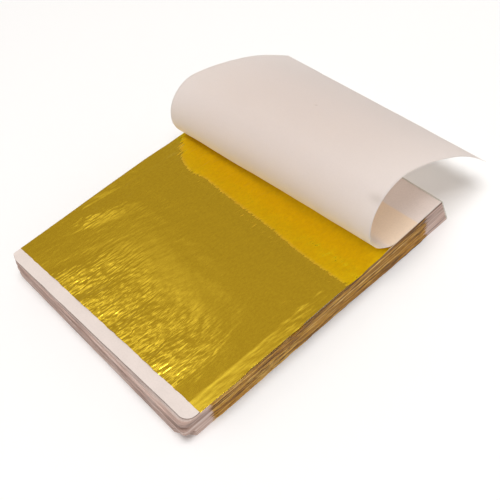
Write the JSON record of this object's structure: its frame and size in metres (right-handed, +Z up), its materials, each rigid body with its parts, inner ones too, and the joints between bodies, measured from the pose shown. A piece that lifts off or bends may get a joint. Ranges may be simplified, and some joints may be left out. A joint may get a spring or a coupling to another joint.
{
  "type": "gold leaf booklet",
  "caption": "Booklet of gold leaf on thin tissue papers, glued along one short end, with its top paper rolled back to show the first leaf.",
  "frame": {"origin": "middle of the underside of the lowest paper, which rests on the table", "axes": "+X across the papers, +Y towards the glued end, +Z up through the papers"},
  "size_m": [0.0808, 0.1155, 0.0325],
  "materials": {
    "tissue_paper": "matte",
    "gold_leaf": "polished",
    "padding_glue": "satin"
  },
  "bodies": {
    "block": {"glue_binding": "padding_glue", "papers_1": "tissue_paper", "papers_2": "tissue_paper", "papers_3": "tissue_paper", "papers_4": "tissue_paper", "papers_5": "tissue_paper", "papers_6": "tissue_paper", "papers_7": "tissue_paper", "papers_8": "tissue_paper", "papers_9": "tissue_paper", "papers_10": "tissue_paper", "leaves_1": "gold_leaf", "leaves_2": "gold_leaf", "leaves_3": "gold_leaf", "leaves_4": "gold_leaf", "leaves_5": "gold_leaf", "leaves_6": "gold_leaf", "leaves_7": "gold_leaf", "leaves_8": "gold_leaf", "leaves_9": "gold_leaf", "leaves_10": "gold_leaf"},
    "second_page": {"second_page": "tissue_paper"},
    "open_leaf": {"open_leaf": "gold_leaf"},
    "curled_page": {"curled_page": "tissue_paper"},
    "second_leaf": {"second_leaf": "gold_leaf"}
  },
  "joints": [
    {"name": "second_page_turn", "type": "hinge", "parent": "block", "child": "second_page", "pos_m": [0, 0.04802, 0.00941], "axis": [-1, 0, 0], "range_deg": [0, 11]},
    {"name": "curled_page_turn", "type": "hinge", "parent": "second_page", "child": "curled_page", "pos_m": [0, 0.048, 0.0095], "axis": [-1, 0, 0], "range_deg": [0, 20]},
    {"name": "open_leaf_draw", "type": "slide", "parent": "second_page", "child": "open_leaf", "axis": [0, -1, 0], "range_m": [0, 0.095]},
    {"name": "second_leaf_draw", "type": "slide", "parent": "block", "child": "second_leaf", "axis": [0, -1, 0], "range_m": [0, 0.095]}
  ]
}
